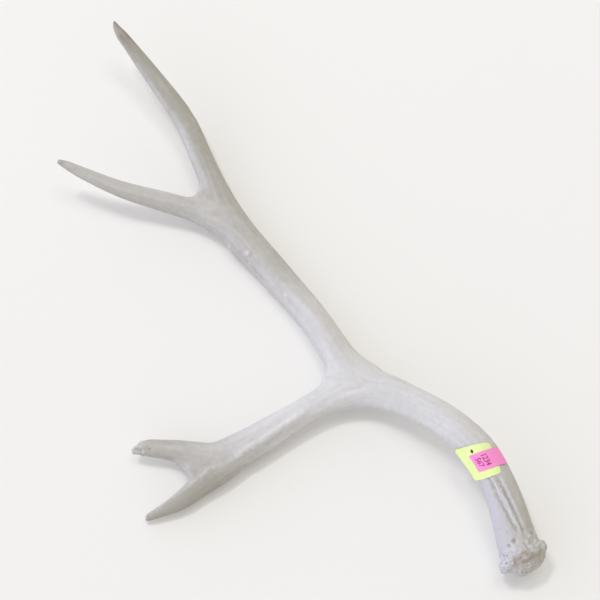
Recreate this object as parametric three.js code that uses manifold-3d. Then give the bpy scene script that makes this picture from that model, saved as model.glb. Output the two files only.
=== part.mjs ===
// A shed mule deer antler, painted grey, lying on its outer side with two paper lot labels on the beam.
// Millimetres, +Z up. The origin is the middle of the antler's footprint, on the surface that it lies on.
//
// The antler is one branching bone. It is drawn as limbs that overlap at the forks, joined, rubbed flat
// where it rests, and then sawn into pieces at its three forks.
import * as THREE from "three";
import { mergeVertices } from "three/addons/utils/BufferGeometryUtils.js";
import Module from "manifold-3d";

const wasm = await Module();
wasm.setup();

// ---- Driving dimensions -------------------------------------------------------------------------------

const SIDES = 18; // facets round a limb
const RING_STEP = 9; // distance between two rings of a limb
const SAW_KERF = 0.3; // gap that each saw cut leaves at a fork
const SAW_BLADE = 60; // height and width of the saw's blade
const TABLE = { size: 1500, depth: 50 }; // the block that rubs the resting places flat

// The coronet sits askew on the foot of the beam. Its seat is the middle of the ring.
const CORONET = { seat: [1, 1.5, 20.5], lean: [-0.52, 0.85, 0.03], radius: 15.9, tube: 4.7 };
const KNOBS = { count: 11, radius: 3.4, spread: 0.7, ringRadius: 18.2, stretch: 1.25 };
const LABEL = { gap: 0.3, thickness: 0.3, columns: 10, rows: 4 };

const PAINT = { color: 0xc4c3c6, roughness: 0.62, metalness: 0 };
const LIME_PAPER = { color: 0xdcf07c, roughness: 0.7, metalness: 0 };
const PINK_PAPER = { color: 0xf57cc4, roughness: 0.7, metalness: 0 };

// Each limb is a list of stations along its middle line:
// x and y from the middle of the coronet, z above the table, then the section's width and depth.
const UPPER_LIMB = [
  [9.5, -9, 19, 15, 14],
  [7.5, -6, 19.2, 28, 26],
  [2, 2, 20, 36, 34],
  [-2.5, 14, 21.5, 33.5, 31.5],
  [-7, 31, 26, 30.5, 29.5],
  [-12, 47, 30, 28.5, 28],
  [-20, 66, 35, 27, 27],
  [-31.5, 85, 38, 27.5, 27],
  [-47, 101, 37.5, 27, 27],
  [-62, 113.5, 34, 27, 26.5],
  [-78, 124, 30, 27, 26],
  [-94, 132.5, 25.5, 28, 26],
  [-113, 140.5, 21, 31, 25],
  [-132, 151, 18, 31, 24],
  [-146, 176.5, 15, 27, 23.5],
  [-165.5, 207.5, 13, 25.5, 23.5],
  [-184.5, 231, 12, 26.5, 24],
  [-206, 257, 11.8, 28, 24],
  [-228, 283, 13, 30, 23],
  [-244, 309, 15.5, 27, 21],
  [-254, 333, 18, 22, 19.5],
  [-262, 351, 20, 20.5, 19],
  [-278, 387, 25.5, 19.5, 18],
  [-304.5, 423, 34.5, 16.5, 15],
  [-331, 456, 47, 10.5, 9.5],
  [-338, 464.5, 51, 7, 6.5],
  [-341.5, 471.5, 53.8, 2.5, 2.5],
];
const REAR_TINE = [
  [-216, 268, 12.5, 20, 20],
  [-232, 284, 13.5, 24, 21],
  [-250, 296, 15, 22.5, 20],
  [-266, 303, 16.5, 20, 18.5],
  [-298, 311, 22.5, 18, 17],
  [-332, 318.5, 30.5, 14.5, 13.5],
  [-366, 331, 38.5, 10.5, 10],
  [-378, 336.3, 41.3, 7.5, 7],
  [-385.5, 339, 43.2, 4, 4],
];
const FRONT_LIMB = [
  [-94, 130, 25, 22, 22],
  [-110, 136.5, 21, 26, 23],
  [-133, 139, 17.5, 27, 23],
  [-155, 132, 15.5, 25.5, 22],
  [-176, 120, 14, 25, 21.5],
  [-201, 105, 12.8, 28, 21.5],
  [-225, 90.5, 12.2, 29.5, 21],
  [-246, 84, 12.3, 26, 20],
  [-262, 86.5, 12.8, 23, 18.5],
  [-275, 89.5, 13.5, 19.5, 17],
  [-287, 91, 14.3, 16.5, 15],
  [-299, 91.8, 15.2, 15, 13.5],
  [-307, 91.2, 15.8, 12, 10.5],
  [-314.5, 89, 16.2, 4, 4],
];
const FRONT_TINE = [
  [-222, 88, 12, 20, 19],
  [-240, 76, 11.3, 23, 21],
  [-256, 64, 10.2, 20, 21.2],
  [-266, 55, 9.8, 16.5, 17],
  [-275, 48.5, 9.2, 13.5, 14],
  [-287, 42, 8, 9.8, 10],
  [-297, 37.3, 6.8, 7, 7],
  [-302.5, 35, 6, 5, 5],
];
// The webs of bone that round off the corners of the three forks.
const MAIN_WEB = [
  [-172, 216, 13.5, 13, 15],
  [-161, 194, 14, 15, 17],
  [-152, 179, 15, 16, 19],
  [-145.5, 159, 16, 17, 20],
  [-153.5, 140.5, 15.5, 16, 19],
  [-171, 128, 14.5, 15, 17],
  [-183, 120, 14, 13, 15],
];
const OUTER_WEB = [
  [-150, 195, 14, 14, 14],
  [-136.5, 171, 15.5, 18, 19],
  [-121.5, 156, 17.5, 19, 20],
  [-105, 143, 20.5, 16, 19],
  [-84, 133, 26, 14, 14],
];
const REAR_WEB = [
  [-266, 353.5, 19.5, 12, 13],
  [-262, 344, 18.5, 13, 14],
  [-257.5, 326.5, 17, 14, 16],
  [-263.5, 312.5, 16.5, 14, 16],
  [-276.5, 309, 17.5, 13.5, 14],
  [-290, 311, 20, 12, 12],
];
const FRONT_WEB = [
  [-291, 91, 14, 11, 11],
  [-280.5, 89, 13.5, 14, 13],
  [-266.5, 80, 12, 15, 15],
  [-259.5, 67, 11, 15, 16],
  [-266, 53.5, 10, 12, 13],
  [-274, 47.5, 9.3, 10, 10],
];

// Saw cuts at the forks: a point on the limb's middle line, and the direction in which the limb runs.
const CUTS = [
  { at: [-151, 186, 14.5], along: [-0.55, 0.83, 0] }, // the rear beam off the main fork
  { at: [-170, 123, 14.5], along: [-0.86, -0.5, 0] }, // the front beam off the main fork
  { at: [-258, 342, 19], along: [-0.42, 0.9, 0.1] }, // the upper tine off the rear fork
  { at: [-279, 306.5, 19], along: [-0.97, 0.2, 0.15] }, // the lower tine off the rear fork
  { at: [-274, 89, 13.5], along: [-0.98, 0.18, 0.05] }, // the upper tine off the front fork
  { at: [-267, 54.5, 10], along: [-0.8, -0.6, -0.1] }, // the lower tine off the front fork
];
// A point inside each sawn piece, to name it by.
const PIECES = {
  main_beam: [-47, 101, 37.5],
  rear_beam: [-206, 257, 11.8],
  front_beam: [-225, 90.5, 12.2],
  rear_upper_tine: [-304.5, 423, 34.5],
  rear_lower_tine: [-332, 318.5, 30.5],
  front_upper_tine: [-300, 92.5, 15.2],
  front_lower_tine: [-287, 42, 8],
};

// Each label's corners on the upper limb, as [station, degrees round the section from its left side].
const LABELS = [
  {
    name: "lime_label",
    paper: LIME_PAPER,
    topLeft: [7.55, 6],
    topRight: [6.9, 120],
    bottomLeft: [6.15, -6],
    bottomRight: [6, 96],
  },
  {
    name: "pink_label",
    paper: PINK_PAPER,
    topLeft: [7, 36],
    topRight: [6.7, 138],
    bottomLeft: [6.3, 34],
    bottomRight: [6.1, 138],
  },
];

// ---- Shapes -------------------------------------------------------------------------------------------

const vector = (p) => new THREE.Vector3(p[0], p[1], p[2]);
const UP = new THREE.Vector3(0, 0, 1);

// A limb's smooth middle line with its sections. A place on it is measured in stations from its root.
class Limb {
  constructor(stations) {
    this.last = stations.length - 1;
    this.line = new THREE.CatmullRomCurve3(stations.map(vector), false, "centripetal");
    const sections = stations.map(([, , , width, depth]) => new THREE.Vector3(width / 2, depth / 2, 0));
    this.sections = new THREE.CatmullRomCurve3(sections, false, "centripetal");
  }

  // The point at a station, so many radians round the section from its left side, lifted off the bone.
  surface(station, angle, reach = 1, lift = 0) {
    const t = THREE.MathUtils.clamp(station / this.last, 0, 1);
    const along = this.line.getTangent(t);
    const side = new THREE.Vector3().crossVectors(UP, along).normalize();
    const rise = new THREE.Vector3().crossVectors(along, side);
    const half = this.sections.getPoint(t);
    return this.line
      .getPoint(t)
      .addScaledVector(side, Math.cos(angle) * (half.x * reach + lift))
      .addScaledVector(rise, Math.sin(angle) * (half.y * reach + lift));
  }

  // A cylinder bent along the middle line and swollen to the sections.
  geometry() {
    const rings = Math.max(this.last, Math.round(this.line.getLength() / RING_STEP));
    const bent = new THREE.CylinderGeometry(1, 1, 1, SIDES, rings);
    const place = bent.getAttribute("position");
    for (let i = 0; i < place.count; i++) {
      const reach = Math.hypot(place.getX(i), place.getZ(i));
      const angle = Math.atan2(place.getZ(i), place.getX(i));
      const station = (0.5 - place.getY(i)) * this.last;
      place.setXYZ(i, ...this.surface(station, angle, reach));
    }
    return bent;
  }
}

// The coronet: a ring of bone round the foot of the beam, set with knobs that differ in size and height.
function coronet() {
  const ring = new THREE.TorusGeometry(CORONET.radius, CORONET.tube, 8, 24);
  const knobs = Array.from({ length: KNOBS.count }, (_, i) => {
    const angle = (i / KNOBS.count) * 2 * Math.PI;
    const radius = KNOBS.radius + KNOBS.spread * Math.sin(5 * angle + 1);
    const height = KNOBS.spread * Math.sin(3 * angle);
    return new THREE.IcosahedronGeometry(radius, 1)
      .scale(1, 1, KNOBS.stretch)
      .translate(Math.cos(angle) * KNOBS.ringRadius, Math.sin(angle) * KNOBS.ringRadius, height);
  });
  const turn = new THREE.Quaternion().setFromUnitVectors(UP, vector(CORONET.lean).normalize());
  return [ring, ...knobs].map((shape) => shape.applyQuaternion(turn).translate(...CORONET.seat));
}

// A paper label: a thin plate laid over the limb between its four corners. Each layer lies on the last.
function labelGeometry(limb, label, layer) {
  const plate = new THREE.BoxGeometry(1, 1, 1, LABEL.columns, LABEL.rows, 1);
  const place = plate.getAttribute("position");
  const mix = THREE.MathUtils.lerp;
  const { topLeft, topRight, bottomLeft, bottomRight } = label;
  const between = (axis, across, up) =>
    mix(mix(bottomLeft[axis], bottomRight[axis], across), mix(topLeft[axis], topRight[axis], across), up);
  for (let i = 0; i < place.count; i++) {
    const across = place.getX(i) + 0.5;
    const up = place.getY(i) + 0.5;
    const station = between(0, across, up);
    const angle = THREE.MathUtils.degToRad(between(1, across, up));
    const lift = LABEL.gap + layer * (LABEL.gap + LABEL.thickness) + (place.getZ(i) + 0.5) * LABEL.thickness;
    place.setXYZ(i, ...limb.surface(station, angle, 1, lift));
  }
  return plate;
}

// ---- Joining and sawing -------------------------------------------------------------------------------

function solid(geometry) {
  const bare = geometry.clone();
  bare.deleteAttribute("normal");
  bare.deleteAttribute("uv");
  const merged = mergeVertices(bare, 1e-4);
  const vertProperties = new Float32Array(merged.getAttribute("position").array);
  const triVerts = new Uint32Array(merged.index.array);
  return new wasm.Manifold(new wasm.Mesh({ numProp: 3, vertProperties, triVerts }));
}

function geometryOf(body) {
  const mesh = body.getMesh();
  const place = new Float32Array(mesh.numVert * 3);
  for (let i = 0; i < mesh.numVert; i++) {
    place.set(mesh.vertProperties.subarray(i * mesh.numProp, i * mesh.numProp + 3), i * 3);
  }
  const made = new THREE.BufferGeometry();
  made.setAttribute("position", new THREE.BufferAttribute(place, 3));
  made.setIndex(new THREE.BufferAttribute(new Uint32Array(mesh.triVerts), 1));
  made.computeVertexNormals();
  return made;
}

function sawCut({ at, along }) {
  const blade = new THREE.BoxGeometry(SAW_BLADE, SAW_BLADE, SAW_KERF);
  const turn = new THREE.Quaternion().setFromUnitVectors(UP, vector(along).normalize());
  return solid(blade.applyQuaternion(turn).translate(...at));
}

function table() {
  const block = new THREE.BoxGeometry(TABLE.size, TABLE.size, TABLE.depth);
  return solid(block.translate(0, 0, -TABLE.depth / 2));
}

// How far a shape's nearest vertex is from a point.
function distanceTo(point, geometry) {
  const place = geometry.getAttribute("position");
  const from = vector(point);
  const corner = new THREE.Vector3();
  let nearest = Infinity;
  for (let i = 0; i < place.count; i++) {
    nearest = Math.min(nearest, corner.fromBufferAttribute(place, i).distanceTo(from));
  }
  return nearest;
}

const upperLimb = new Limb(UPPER_LIMB);
const branches = [REAR_TINE, FRONT_LIMB, FRONT_TINE, MAIN_WEB, OUTER_WEB, REAR_WEB, FRONT_WEB];
const limbs = [upperLimb, ...branches.map((stations) => new Limb(stations))];
const grown = [...limbs.map((limb) => limb.geometry()), ...coronet()].map(solid);
const rested = grown.reduce((a, b) => a.add(b)).subtract(table());
const sawn = CUTS.reduce((bone, cut) => bone.subtract(sawCut(cut)), rested)
  .decompose()
  .map(geometryOf);

// ---- The scene ----------------------------------------------------------------------------------------

const antler = new THREE.Group();

function addPart(name, geometry, finish) {
  const part = new THREE.Mesh(geometry, new THREE.MeshStandardMaterial(finish));
  part.name = name;
  antler.add(part);
}

for (const [name, inside] of Object.entries(PIECES)) {
  const nearest = sawn.reduce((a, b) => (distanceTo(inside, a) < distanceTo(inside, b) ? a : b));
  addPart(name, nearest, PAINT);
}
LABELS.forEach((label, layer) => addPart(label.name, labelGeometry(upperLimb, label, layer), label.paper));

// The footprint's middle goes to the origin.
const footprint = new THREE.Box3().setFromObject(antler).getCenter(new THREE.Vector3());
antler.position.set(-footprint.x, -footprint.y, 0);

export default antler;
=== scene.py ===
# %% [markdown]
# # A deer antler under grey paint
# A deer's antler is one grown piece of bone. It starts at the burr, a rough foot with a ring of knobs
# called the coronet, and forks twice into four tines. This one was given a thin coat of light grey
# paint, and two paper labels are stuck on its beam. The construction model already holds its shape in
# plain facets, so here the bone gets its grown surface, the paint, and the paper.

# %% Load the construction model
import math
import random

import bpy
import numpy as np
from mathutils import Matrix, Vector, kdtree, noise
from mathutils.bvhtree import BVHTree


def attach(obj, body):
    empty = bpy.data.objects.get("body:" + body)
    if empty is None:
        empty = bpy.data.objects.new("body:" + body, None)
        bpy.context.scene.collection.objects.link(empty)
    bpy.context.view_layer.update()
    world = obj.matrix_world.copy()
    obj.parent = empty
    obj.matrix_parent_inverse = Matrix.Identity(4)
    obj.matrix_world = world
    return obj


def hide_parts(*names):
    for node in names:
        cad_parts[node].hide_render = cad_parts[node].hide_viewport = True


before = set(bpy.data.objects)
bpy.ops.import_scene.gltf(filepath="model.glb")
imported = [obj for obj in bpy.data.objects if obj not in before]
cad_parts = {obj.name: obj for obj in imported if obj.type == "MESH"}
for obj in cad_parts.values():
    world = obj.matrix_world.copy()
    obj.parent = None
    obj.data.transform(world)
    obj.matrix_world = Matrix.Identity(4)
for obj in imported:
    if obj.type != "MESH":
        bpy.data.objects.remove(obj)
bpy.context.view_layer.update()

MM = 0.001
random.seed(11)

# %% [markdown]
# ## Hand tools
# Blender's operators work on what is selected, and loading leaves the construction model selected. So
# each step first picks its own piece. Vertices are moved as arrays in millimetres, which is quick, and
# keeps every size readable.


# %% Hand tools
def pick(*pieces):
    """Selects only these pieces, the first one active."""
    bpy.ops.object.select_all(action="DESELECT")
    for piece in pieces:
        piece.select_set(True)
    bpy.context.view_layer.objects.active = pieces[0]


def finish_with(piece, kind, **settings):
    """Adds a modifier with these settings and applies it."""
    pick(piece)
    modifier = piece.modifiers.new(kind.title(), kind)
    for name, value in settings.items():
        setattr(modifier, name, value)
    bpy.ops.object.modifier_apply(modifier=modifier.name)


def places_of(piece):
    places = np.empty(len(piece.data.vertices) * 3)
    piece.data.vertices.foreach_get("co", places)
    return places.reshape(-1, 3) / MM


def move_to(piece, places):
    piece.data.vertices.foreach_set("co", (places * MM).ravel())
    piece.data.update()


def normals_of(piece):
    normals = np.empty(len(piece.data.vertices) * 3)
    piece.data.vertex_normals.foreach_get("vector", normals)
    return normals.reshape(-1, 3)


def triangles_of(piece):
    return sum(len(face.vertices) - 2 for face in piece.data.polygons)


def unit(arrows):
    return arrows / np.linalg.norm(arrows, axis=-1, keepdims=True)


def rise_between(low, high, values):
    """0 below low and 1 above high, with a smooth slope between. High may be the lower one."""
    share = np.clip((values - low) / (high - low), 0, 1)
    return share * share * (3 - 2 * share)


print("hand tools ready")

# %% [markdown]
# ## Middle lines
# Everything on an antler runs lengthwise: its fibres, its furrows, and the channels that blood vessels
# left. A smooth line through the middle of each limb gives every point of the bone a place of its own:
# how far along the limb, how far to its left, and how far up. A mark is then placed by its distance
# from the burr and the degrees round the bone from its top, as one would describe it with a tape.
# Each limb has the distance from the burr at which it starts, and its points as seen from the burr.

# %% Middle lines
BURR = np.array([183.55, -229.19, 0.0])  # the middle of the burr, on the table
STEPS = 24  # samples between two points of a line
LIMBS = {
    "upper": (0, [
        (2, 2, 20), (-7, 31, 26), (-20, 66, 35), (-47, 101, 37.5), (-94, 132.5, 25.5), (-132, 151, 18),
        (-165.5, 207.5, 13), (-206, 257, 11.8), (-244, 309, 15.5), (-262, 351, 20), (-304.5, 423, 34.5),
        (-341.5, 471.5, 53.8),
    ]),
    "rear": (345, [
        (-206, 257, 11.8), (-232, 284, 13.5), (-266, 303, 16.5), (-332, 318.5, 30.5), (-385.5, 339, 43.2),
    ]),
    "front": (194, [
        (-113, 140.5, 21), (-133, 139, 17.5), (-176, 120, 14), (-225, 90.5, 12.2), (-262, 86.5, 12.8),
        (-314.5, 89, 16.2),
    ]),
    "lower": (291, [(-201, 105, 12.8), (-240, 76, 11.3), (-266, 55, 9.8), (-302.5, 35, 6)]),
}


def smooth_line(points):
    """A Catmull-Rom curve through the points."""
    inner = np.array(points, float)
    knots = np.vstack([2 * inner[0] - inner[1], inner, 2 * inner[-1] - inner[-2]])
    t = np.linspace(0, 1, STEPS, endpoint=False)[:, None]
    stretches = []
    for a, b, c, d in zip(knots, knots[1:], knots[2:], knots[3:]):
        bend = (2 * a - 5 * b + 4 * c - d) * t**2 + (3 * b - a - 3 * c + d) * t**3
        stretches.append(0.5 * (2 * b + (c - a) * t + bend))
    return np.vstack([*stretches, inner[-1]])


class MiddleLine:
    """A limb's middle line, with the ways ahead, left and up at each sample."""

    def __init__(self, start, points):
        self.places = smooth_line(points) + BURR
        steps = np.linalg.norm(np.diff(self.places, axis=0), axis=1)
        self.along = start + np.concatenate([[0], np.cumsum(steps)])
        self.ahead = unit(np.gradient(self.places, axis=0))
        self.left = unit(np.cross([0, 0, 1], self.ahead))
        self.up = np.cross(self.ahead, self.left)
        self.tree = kdtree.KDTree(len(self.places))
        for index, place in enumerate(self.places):
            self.tree.insert(place, index)
        self.tree.balance()

    def measure(self, places):
        """How far along, left and up each place lies, and how far from the line."""
        near = np.array([self.tree.find(place)[1] for place in places])
        offset = places - self.places[near]
        ways = [(offset * way[near]).sum(1) for way in (self.ahead, self.left, self.up)]
        found = np.column_stack(ways)
        distance = np.hypot(found[:, 1], found[:, 2])
        found[:, 0] += self.along[near]
        return found, distance

    def cross_section(self, along):
        """The middle, and the ways left and up, at that distance along."""
        return [
            np.array([np.interp(along, self.along, rows[:, axis]) for axis in range(3)])
            for rows in (self.places, self.left, self.up)
        ]


lines = {name: MiddleLine(start, points) for name, (start, points) in LIMBS.items()}
for name, line in lines.items():
    print(f"{name} limb runs from {line.along[0]:.0f} to {line.along[-1]:.0f} mm from the burr")

# %% [markdown]
# Where limbs meet, a vertex belongs partly to each of them. Its measures are blended by how close it
# is to each line, so that a streak runs through a fork without a break.

# %% Places on the bone
FORK_BLEND = 4  # mm over which one limb's measure gives way to the next


def limbs_at(places):
    """Each vertex's place on every limb (mm along, left, up), and its share of each limb."""
    measured = [line.measure(places) for line in lines.values()]
    distances = np.array([distance for _, distance in measured])
    found = np.array([place for place, _ in measured])
    beyond = np.array([
        np.maximum(line.along[0] - place[:, 0], 0) + np.maximum(place[:, 0] - line.along[-1], 0)
        for line, place in zip(lines.values(), found)
    ])
    reach = np.hypot(distances, beyond)
    weight = np.exp((reach.min(0) - reach) / FORK_BLEND)
    return found, weight / weight.sum(0)


def bone_places(places):
    """Each vertex's place on the bone (mm along, left, up), blended where limbs meet."""
    found, share = limbs_at(places)
    return (found * share[:, :, None]).sum(0)


print("limbs blend over", FORK_BLEND, "mm")

# %% [markdown]
# ## One skin for the bone
# The construction model is sawn at its forks, with gaps of 0.3 mm, and its limbs have flat facets. The
# seven pieces are copied, swollen a little so that the gaps close, and joined. A voxel remesh then
# wraps them in one even skin. This suits a thing that grew in one piece better than bridging the
# edges by hand, because every fork blends the same way.

# %% Copy, swell and join the seven bones
BONES = [
    "main_beam", "rear_beam", "front_beam", "rear_upper_tine", "rear_lower_tine", "front_upper_tine",
    "front_lower_tine",
]
SWELL = 0.4  # mm, more than half of a saw gap
SKIN_CELL = 1.33  # mm between two vertices of the skin


def copy_bone(name):
    bone = bpy.data.objects.new(name + "_copy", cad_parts[name].data.copy())
    bpy.context.scene.collection.objects.link(bone)
    bone.data.materials.clear()
    pick(bone)
    bpy.ops.mesh.customdata_custom_splitnormals_clear()
    bpy.ops.object.mode_set(mode="EDIT")
    bpy.ops.mesh.select_all(action="SELECT")
    bpy.ops.mesh.remove_doubles(threshold=0.001 * MM)
    bpy.ops.object.mode_set(mode="OBJECT")
    finish_with(bone, "DISPLACE", strength=SWELL * MM, mid_level=0)
    return bone


copies = [copy_bone(name) for name in BONES]
pick(*copies)
bpy.ops.object.join()
antler = copies[0]
antler.name = "antler"
finish_with(antler, "REMESH", mode="VOXEL", voxel_size=SKIN_CELL * MM)
finish_with(antler, "DISPLACE", strength=-SWELL * MM, mid_level=0)
print("one skin of", triangles_of(antler), "triangles")

# %% [markdown]
# ## Round the facets off
# Plain smoothing shrinks thin tines. Here each smoothing step is followed by a slightly larger step
# the other way, which takes the small facets out and leaves the big shape alone. The coronet is
# mostly spared, because its knobs are as small as the facets.

# %% Smooth without shrinking
SMOOTH_ROUNDS = 70
SMOOTH_IN = 0.6
SMOOTH_OUT = -0.61
CORONET_TOP = 9  # mm along, where the coronet ends
CORONET_SHARE = 0.25  # of each smoothing step, on the coronet


def edges_of(piece):
    edges = np.empty(len(piece.data.edges) * 2, int)
    piece.data.edges.foreach_get("vertices", edges)
    return edges.reshape(-1, 2)


def pull_to_neighbours(places, edges, share):
    """Moves each vertex this share of the way to the middle of its neighbours."""
    count = np.bincount(edges.ravel(), minlength=len(places))
    ends = np.concatenate([edges[:, 0], edges[:, 1]])
    others = np.concatenate([edges[:, 1], edges[:, 0]])
    middle = np.column_stack([np.bincount(ends, places[others, k], len(places)) for k in range(3)])
    return places + share * (middle / count[:, None] - places)


def smooth_in_and_out(places, rounds):
    """Smooths the skin's places, and follows each step in by a slightly larger one out."""
    for _ in range(rounds):
        places = pull_to_neighbours(places, skin_edges, SMOOTH_IN * smoothness)
        places = pull_to_neighbours(places, skin_edges, SMOOTH_OUT * smoothness)
    return places


skin = places_of(antler)
skin_edges = edges_of(antler)
off_coronet = rise_between(CORONET_TOP, 2 * CORONET_TOP, bone_places(skin)[:, 0])
smoothness = (CORONET_SHARE + (1 - CORONET_SHARE) * off_coronet)[:, None]
skin = smooth_in_and_out(skin, SMOOTH_ROUNDS)
move_to(antler, skin)
print("smoothed", len(skin), "vertices")

# %% [markdown]
# ## Fill the forks
# Where two tubes and a web meet, a three-cornered hollow is left on top and below. Grown bone is full
# there. Filling lifts only the vertices that lie below their neighbours, again and again, as a knife
# of filler would. It leaves the edges of the crotches alone, because those face sideways.

# %% Fill the hollows at the forks
FILL_ROUNDS = 260
NORMALS_LAST = 20  # rounds before the normals are measured again
CLOSING_ROUNDS = 12
for done in range(FILL_ROUNDS):
    if done % NORMALS_LAST == 0:
        move_to(antler, skin)
        out = normals_of(antler)
        flat_share = rise_between(0.35, 0.65, np.abs(out[:, 2])) * smoothness[:, 0]
    lift = ((pull_to_neighbours(skin, skin_edges, SMOOTH_IN) - skin) * out).sum(1)
    skin = skin + out * (np.maximum(lift, 0) * flat_share)[:, None]
skin = smooth_in_and_out(skin, CLOSING_ROUNDS)
move_to(antler, skin)
print("forks filled in", FILL_ROUNDS, "rounds")

# %% [markdown]
# ## Finer cells at the burr and the tips
# The foot of the antler carries its smallest shapes: pits, knobs and cracks of one or two
# millimetres. The worn tips are almost as fine. Only the faces there are subdivided, so the rest of
# the skin stays light.

# %% Subdivide the burr and the tips
FINE_LENGTH = 74  # mm of beam with the finer cells
FINE_TIPS = {"front": 24, "lower": 15, "upper": 18, "rear": 14}  # mm from each tip
SETTLE_ROUNDS = 4  # light smoothing of the new cells
SETTLE_SHARE = 0.3
coarse = places_of(antler)
is_fine = bone_places(coarse)[:, 0] < FINE_LENGTH
for name, reach in FINE_TIPS.items():
    is_fine |= np.linalg.norm(coarse - lines[name].places[-1], axis=1) < reach
pick(antler)
bpy.ops.object.mode_set(mode="EDIT")
bpy.ops.mesh.select_mode(type="FACE")
bpy.ops.mesh.select_all(action="DESELECT")
bpy.ops.object.mode_set(mode="OBJECT")
fine = [all(is_fine[v] for v in face.vertices) for face in antler.data.polygons]
antler.data.polygons.foreach_set("select", fine)
bpy.ops.object.mode_set(mode="EDIT")
bpy.ops.mesh.subdivide(number_cuts=1)
bpy.ops.object.mode_set(mode="OBJECT")
skin = places_of(antler)
skin_edges = edges_of(antler)
for _ in range(SETTLE_ROUNDS):
    skin = pull_to_neighbours(skin, skin_edges, SETTLE_SHARE)
move_to(antler, skin)
grain = bone_places(skin)
print("skin with a fine burr and tips:", triangles_of(antler), "triangles")

# %% [markdown]
# ## Relief
# The relief is one height for each vertex, in millimetres out of the skin, added up from what shaped
# the bone. First come the broad flutes and streaks of the whole antler, made with noise that is
# stretched along the limbs. A sculptor would lay these in with a wide scrape brush. Slim tips get
# less of it.


# %% Flutes, waves and streaks
def wander(places, size, seed):
    """Smooth noise from about -1 to 1 whose bumps have this size in mm, at each place."""
    shift = Vector((seed * 17.3, seed * 5.1, seed * 9.7))
    return np.array([noise.noise(Vector(place) + shift) for place in places / np.array(size)])


FLUTES = dict(size=(170, 9, 9), height=0.26)
WAVES = dict(size=(38, 20, 20), height=0.30)
STREAKS = dict(size=(60, 2.9, 2.9), height=0.10)
out = normals_of(antler)
height = np.zeros(len(skin))
stoutness = rise_between(2, 9, np.hypot(grain[:, 1], grain[:, 2]))
for seed, marks in enumerate((FLUTES, WAVES, STREAKS), 1):
    height += marks["height"] * stoutness * wander(grain, marks["size"], seed)
print("flutes and streaks: %.2f to %.2f mm" % (height.min(), height.max()))

# %% [markdown]
# ## Furrows
# Under the velvet, blood vessels press long furrows into the growing bone. Each is a path over the
# skin, given by distances from the burr and degrees round the bone, and pressed in with a soft rounded
# section that fades at its ends. Measuring to the path from places that are shifted about a little
# gives it the ragged edges that the deepest ones have.


# %% Measure to a path and press it in
CRINKLE_SIZE = 3.4  # mm from one wander of a ragged edge to the next


def tree_of(piece):
    faces = [tuple(face.vertices) for face in piece.data.polygons]
    return BVHTree.FromPolygons([tuple(place) for place in places_of(piece)], faces)


def on_bone(limb, along, degrees):
    """The point of the skin at that distance along a limb and so many degrees from its top."""
    middle, left, up = lines[limb].cross_section(along)
    turn = math.radians(degrees)
    outward = Vector(up * math.cos(turn) - left * math.sin(turn))
    hit = skin_tree.ray_cast(Vector(middle), outward)
    if hit[0] is None:
        return np.array(middle), np.array(outward)
    return np.array(hit[0]), np.array(hit[1])


def crinkled(places, shift):
    """The places shifted about by up to this many mm."""
    wanders = [wander(places, CRINKLE_SIZE, seed) for seed in (33, 34, 35)]
    return places + shift * np.column_stack(wanders)


def distance_to_path(places, path):
    """How far each place is from a path of points, and how far along it, from 0 to 1."""
    nearest = np.full(len(places), np.inf)
    share = np.zeros(len(places))
    lengths = np.linalg.norm(np.diff(path, axis=0), axis=1)
    before = np.concatenate([[0], np.cumsum(lengths)])
    for start, end, length, done in zip(path, path[1:], lengths, before):
        step = (end - start) / length
        t = np.clip((places - start) @ step, 0, length)
        gap = np.linalg.norm(places - start - t[:, None] * step, axis=1)
        closer = gap < nearest
        nearest[closer] = gap[closer]
        share[closer] = ((done + t) / before[-1])[closer]
    return nearest, share


def furrow(limb, marks, width, depth, fade=0.15, crinkle=0.0):
    """Presses a furrow along places of (mm along, degrees round). A negative depth raises a ridge."""
    path = np.array([on_bone(limb, *mark)[0] for mark in marks])
    gap, share = distance_to_path(crinkled(skin, crinkle) if crinkle else skin, path)
    ends = rise_between(0, fade, share) * rise_between(1, 1 - fade, share)
    wobble = 1 + 0.3 * wander(skin, 7, 31) + 0.3 * wander(skin, 3, 32)
    height[:] -= depth * ends * wobble * np.exp(-((gap / width) ** 2))


skin_tree = tree_of(antler)
print("furrows are pressed into", len(skin), "vertices")

# %% [markdown]
# The deepest two run from under the labels to the burr, with a narrow ridge between them and a lower
# one on the right. A broad soft ridge lies along the left of the foot.

# %% Furrows at the foot
RAGGED = 0.75  # mm that the edges of the deep furrows wander
LEFT_FURROW = [(74, -42), (67, -37), (51, -32), (42, -22), (32, -15), (24, -7), (17, -2)]
RIGHT_FURROW = [(70, -12), (62, -8), (52, -3), (39, 7), (23, 13), (11, 15)]
RIDGE_BETWEEN = [(72, -28), (55, -19), (45, -9), (33, -4), (24, 3)]
RIDGE_ON_RIGHT = [(68, 4), (52, 10), (39, 18), (26, 22), (18, 24)]
RIDGE_ON_LEFT = [(80, -52), (60, -50), (40, -42), (22, -32)]
furrow("upper", LEFT_FURROW, 1.6, 1.3, crinkle=RAGGED)
furrow("upper", RIGHT_FURROW, 1.3, 1.2, crinkle=RAGGED)
furrow("upper", RIDGE_BETWEEN, 1.4, -0.75, crinkle=RAGGED)
furrow("upper", RIDGE_ON_RIGHT, 2.0, -0.5)
furrow("upper", RIDGE_ON_LEFT, 5.5, -0.6, fade=0.3)
print("furrows: %.2f mm at the deepest" % height.min())

# %% [markdown]
# A broad ridge and a shallow furrow follow the left side of the beam's bend. Other shallow furrows run
# along its right edge, past the main fork. At that fork, a step with a low ridge beside it turns off
# into the front branch, and a fine crease lies on its right.

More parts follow.
